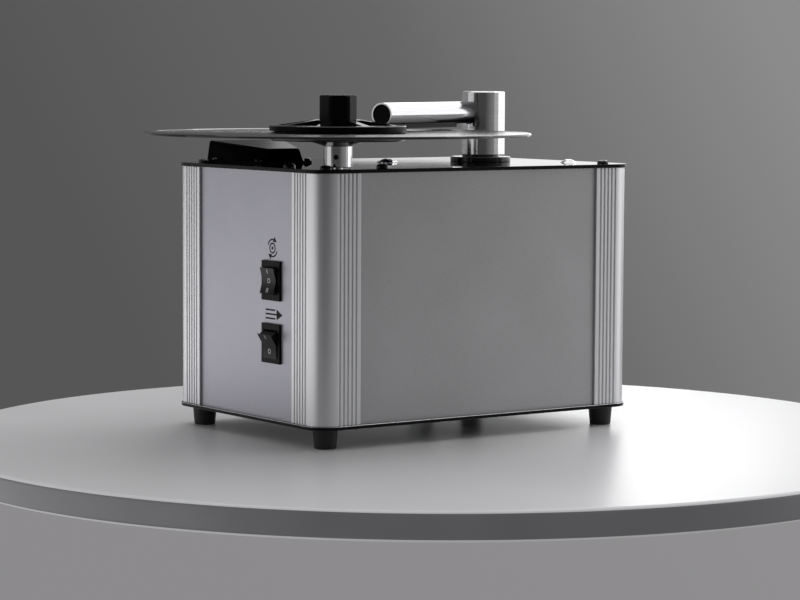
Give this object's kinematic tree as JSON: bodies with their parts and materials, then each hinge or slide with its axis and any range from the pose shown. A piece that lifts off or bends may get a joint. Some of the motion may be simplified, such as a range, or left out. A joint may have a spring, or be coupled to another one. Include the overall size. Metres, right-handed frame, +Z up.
{
  "type": "record cleaning machine",
  "caption": "Tabletop vacuum record cleaner: a black and satin metal case with a driven platter, screw clamp, suction arm, rocker switches and rear exhaust hood.",
  "frame": {"origin": "on the floor, under the middle of the case's base and top plates", "axes": "+Z up, +X right along the long front face (the switch end is -X), -Y the front, which the picture sees"},
  "size_m": [0.4275, 0.346, 0.277],
  "materials": {
    "plate_gloss": "polished black plate",
    "panel_satin": "satin",
    "post_alu": "satin",
    "foot_rubber": "matte",
    "black_steel": "blackened",
    "hood_black": "gloss",
    "switch_black": "satin",
    "rocker_black": "gloss",
    "cast_alu": "cast",
    "motor_steel": "plain",
    "turned_steel": "polished",
    "platter_black": "satin",
    "record_vinyl": "grooved vinyl",
    "clamp_black": "gloss",
    "seal_rubber": "soft",
    "tube_polished": "polished tube",
    "cap_black": "satin",
    "felt_black": "short pile",
    "bush_black": "gloss",
    "ring_plastic": "plain",
    "spring_steel": "drawn wire",
    "tank_plastic": "moulded",
    "dark_plastic": "moulded",
    "hose_rubber": "satin",
    "board_green": "coated board",
    "wire_grey": "sheath",
    "hose_clear": "milky",
    "elbow_plastic": "moulded",
    "bright_metal": "polished",
    "lens_blue": "tinted dome"
  },
  "bodies": {
    "case": {"base_plate": "plate_gloss", "top_plate": "plate_gloss", "post_front_left": "post_alu", "post_front_right": "post_alu", "post_rear_left": "post_alu", "post_rear_right": "post_alu", "front_panel": "panel_satin", "rear_panel": "panel_satin", "left_panel": "panel_satin", "right_panel": "panel_satin", "feet": "foot_rubber", "case_screws": "black_steel", "exhaust_hood": "hood_black", "hood_screws": "black_steel", "motor_switch_body": "switch_black", "vacuum_switch_body": "switch_black", "drive_gearbox": "cast_alu", "drive_motor": "motor_steel", "motor_bracket": "cast_alu", "spindle_bearing": "turned_steel", "arm_collar": "bush_black", "collar_nut": "motor_steel", "lift_spring": "spring_steel", "waste_tank": "tank_plastic", "tank_lid": "tank_plastic", "vacuum_motor": "motor_steel", "vacuum_mounts": "foot_rubber", "fan_housing": "dark_plastic", "exhaust_duct": "dark_plastic", "inlet_elbow": "dark_plastic", "suction_hose": "hose_rubber", "circuit_board": "board_green", "power_inlet": "dark_plastic", "wiring": "wire_grey", "drain_elbow": "elbow_plastic", "level_hose": "hose_clear", "hose_clips": "dark_plastic", "level_bezel": "bright_metal", "level_lens": "lens_blue", "service_plug": "bright_metal"},
    "platter_group": {"drive_shaft": "turned_steel", "spindle_hub": "turned_steel", "grub_screw": "black_steel", "platter": "platter_black", "spindle_stud": "turned_steel", "record_disc": "record_vinyl"},
    "clamp": {"clamp_disc": "clamp_black", "clamp_seal": "seal_rubber", "clamp_knob": "clamp_black"},
    "arm_carriage": {"thrust_ring": "ring_plastic"},
    "arm": {"arm_tube": "tube_polished", "arm_end_cap": "cap_black", "arm_lips": "felt_black", "arm_post": "tube_polished", "arm_bush": "bush_black", "pickup_tube": "cast_alu"},
    "motor_toggle": {"motor_rocker": "rocker_black"},
    "vacuum_toggle": {"vacuum_rocker": "rocker_black"},
    "impeller": {"vacuum_impeller": "cast_alu"},
    "fuse_tray": {"fuse_drawer": "dark_plastic"}
  },
  "joints": [
    {"name": "platter_spin", "type": "hinge", "parent": "case", "child": "platter_group", "pos_m": [-0.1185, -0.0769, 0.218], "axis": [0, 0, 1], "continuous": true},
    {"name": "clamp_lift", "type": "slide", "parent": "platter_group", "child": "clamp", "axis": [0, 0, 1], "range_m": [0, 0.03]},
    {"name": "arm_lift", "type": "slide", "parent": "case", "child": "arm_carriage", "axis": [0, 0, 1], "range_m": [-0.0013, 0.015], "stiffness_N_per_m": 3000, "springref_m": 0.0013, "deforming": ["lift_spring"]},
    {"name": "arm_swing", "type": "hinge", "parent": "arm_carriage", "child": "arm", "pos_m": [0.079, 0, 0.222], "axis": [0, 0, 1], "range_deg": [-90, 90]},
    {"name": "motor_rocker_tilt", "type": "hinge", "parent": "case", "child": "motor_toggle", "pos_m": [-0.15255, -0.0386, 0.1287], "axis": [0, 1, 0], "range_deg": [-11, 11]},
    {"name": "vacuum_rocker_tilt", "type": "hinge", "parent": "case", "child": "vacuum_toggle", "pos_m": [-0.15255, -0.0386, 0.079], "axis": [0, 1, 0], "range_deg": [0, 33]},
    {"name": "impeller_spin", "type": "hinge", "parent": "case", "child": "impeller", "pos_m": [-0.062, 0.046, 0.08], "axis": [0, 0, 1], "continuous": true},
    {"name": "fuse_drawer_pull", "type": "slide", "parent": "case", "child": "fuse_tray", "axis": [0, 1, 0], "range_m": [0, 0.014]}
  ]
}
